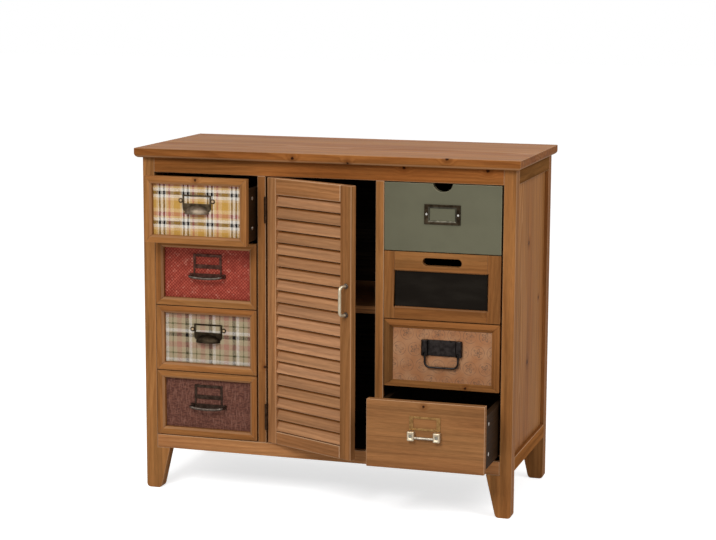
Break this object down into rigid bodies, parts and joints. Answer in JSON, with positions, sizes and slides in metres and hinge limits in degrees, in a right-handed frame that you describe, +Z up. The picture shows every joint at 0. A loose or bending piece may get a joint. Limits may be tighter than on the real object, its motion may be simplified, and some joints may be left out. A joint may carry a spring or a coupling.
{
  "type": "apothecary chest",
  "caption": "Low pine apothecary chest on tapered feet with a louvred door between two columns of unlike drawers, each with its own front and pull.",
  "frame": {"origin": "on the floor, below the middle of the whole chest with two drawers drawn out", "axes": "+X to the right seen from the front, +Y from front to back, +Z up"},
  "size_m": [0.9, 0.5314, 0.8],
  "materials": {
    "pine": "honey-brown satin lacquer",
    "dark_stain": "near-black stain",
    "sage_paint": "sage green satin paint",
    "yellow_plaid_cloth": "woven plaid on board",
    "red_woven_cloth": "coarse red weave on board",
    "beige_plaid_cloth": "woven plaid on board",
    "maroon_tweed": "tweed on board",
    "chalkboard": "matte chalkboard paint",
    "printed_board": "matte print on board",
    "antique_bronze": "antique bronze patina",
    "black_iron": "black satin paint",
    "aged_brass": "aged brass",
    "bright_nickel": "bright nickel"
  },
  "bodies": {
    "carcass": {"top_board": "pine", "front_top_rail": "pine", "front_bottom_rail": "pine", "back_bottom_rail": "pine", "floor_panel": "pine", "post_front_left": "pine", "post_back_left": "pine", "side_top_rail_left": "pine", "side_bottom_rail_left": "pine", "side_panel_left": "pine", "partition_left": "pine", "post_front_right": "pine", "post_back_right": "pine", "side_top_rail_right": "pine", "side_bottom_rail_right": "pine", "side_panel_right": "pine", "partition_right": "pine", "back_panel": "dark_stain", "shelf": "dark_stain", "hinge_upper_frame_leaf": "antique_bronze", "hinge_lower_frame_leaf": "antique_bronze"},
    "drawer_1": {"drawer_1_box": "dark_stain", "drawer_1_front": "pine", "drawer_1_insert": "yellow_plaid_cloth", "drawer_1_cup_pull": "antique_bronze"},
    "drawer_2": {"drawer_2_box": "dark_stain", "drawer_2_front": "pine", "drawer_2_insert": "red_woven_cloth", "drawer_2_bow_pull": "antique_bronze"},
    "drawer_3": {"drawer_3_box": "dark_stain", "drawer_3_front": "pine", "drawer_3_insert": "beige_plaid_cloth", "drawer_3_cup_pull": "antique_bronze"},
    "drawer_4": {"drawer_4_box": "dark_stain", "drawer_4_front": "pine", "drawer_4_insert": "maroon_tweed", "drawer_4_bow_pull": "antique_bronze"},
    "drawer_5": {"drawer_5_box": "dark_stain", "drawer_5_front": "sage_paint", "drawer_5_card_holder": "antique_bronze"},
    "drawer_6": {"drawer_6_box": "dark_stain", "drawer_6_front": "pine", "drawer_6_insert": "chalkboard"},
    "drawer_7": {"drawer_7_box": "dark_stain", "drawer_7_front": "pine", "drawer_7_insert": "printed_board", "drawer_7_bail_plate": "black_iron"},
    "drawer_8": {"drawer_8_box": "dark_stain", "drawer_8_front": "pine", "drawer_8_card_frame": "aged_brass", "drawer_8_bar_handle": "bright_nickel"},
    "bail": {"drawer_7_bail": "black_iron"},
    "door": {"door_hinge_stile_and_slats": "pine", "door_lock_stile": "pine", "door_top_rail": "pine", "door_bottom_rail": "pine", "door_handle": "bright_nickel", "hinge_upper_door_leaf": "antique_bronze", "hinge_lower_door_leaf": "antique_bronze"}
  },
  "joints": [
    {"name": "drawer_1_slide", "type": "slide", "parent": "carcass", "child": "drawer_1", "axis": [0, -1, 0], "range_m": [-0.063, 0.137]},
    {"name": "drawer_2_slide", "type": "slide", "parent": "carcass", "child": "drawer_2", "axis": [0, -1, 0], "range_m": [0, 0.2]},
    {"name": "drawer_3_slide", "type": "slide", "parent": "carcass", "child": "drawer_3", "axis": [0, -1, 0], "range_m": [0, 0.2]},
    {"name": "drawer_4_slide", "type": "slide", "parent": "carcass", "child": "drawer_4", "axis": [0, -1, 0], "range_m": [0, 0.2]},
    {"name": "drawer_5_slide", "type": "slide", "parent": "carcass", "child": "drawer_5", "axis": [0, -1, 0], "range_m": [0, 0.2]},
    {"name": "drawer_6_slide", "type": "slide", "parent": "carcass", "child": "drawer_6", "axis": [0, -1, 0], "range_m": [0, 0.2]},
    {"name": "drawer_7_slide", "type": "slide", "parent": "carcass", "child": "drawer_7", "axis": [0, -1, 0], "range_m": [0, 0.2]},
    {"name": "drawer_8_slide", "type": "slide", "parent": "carcass", "child": "drawer_8", "axis": [0, -1, 0], "range_m": [-0.132, 0.068]},
    {"name": "door_hinge", "type": "hinge", "parent": "carcass", "child": "door", "pos_m": [-0.1375, -0.12335, 0.4365], "axis": [0, 0, -1], "range_deg": [-24.5, 65.5]},
    {"name": "bail_pivot", "type": "hinge", "parent": "drawer_7", "child": "bail", "pos_m": [0.2725, -0.11685, 0.36288], "axis": [-1, 0, 0], "range_deg": [0, 90]}
  ]
}
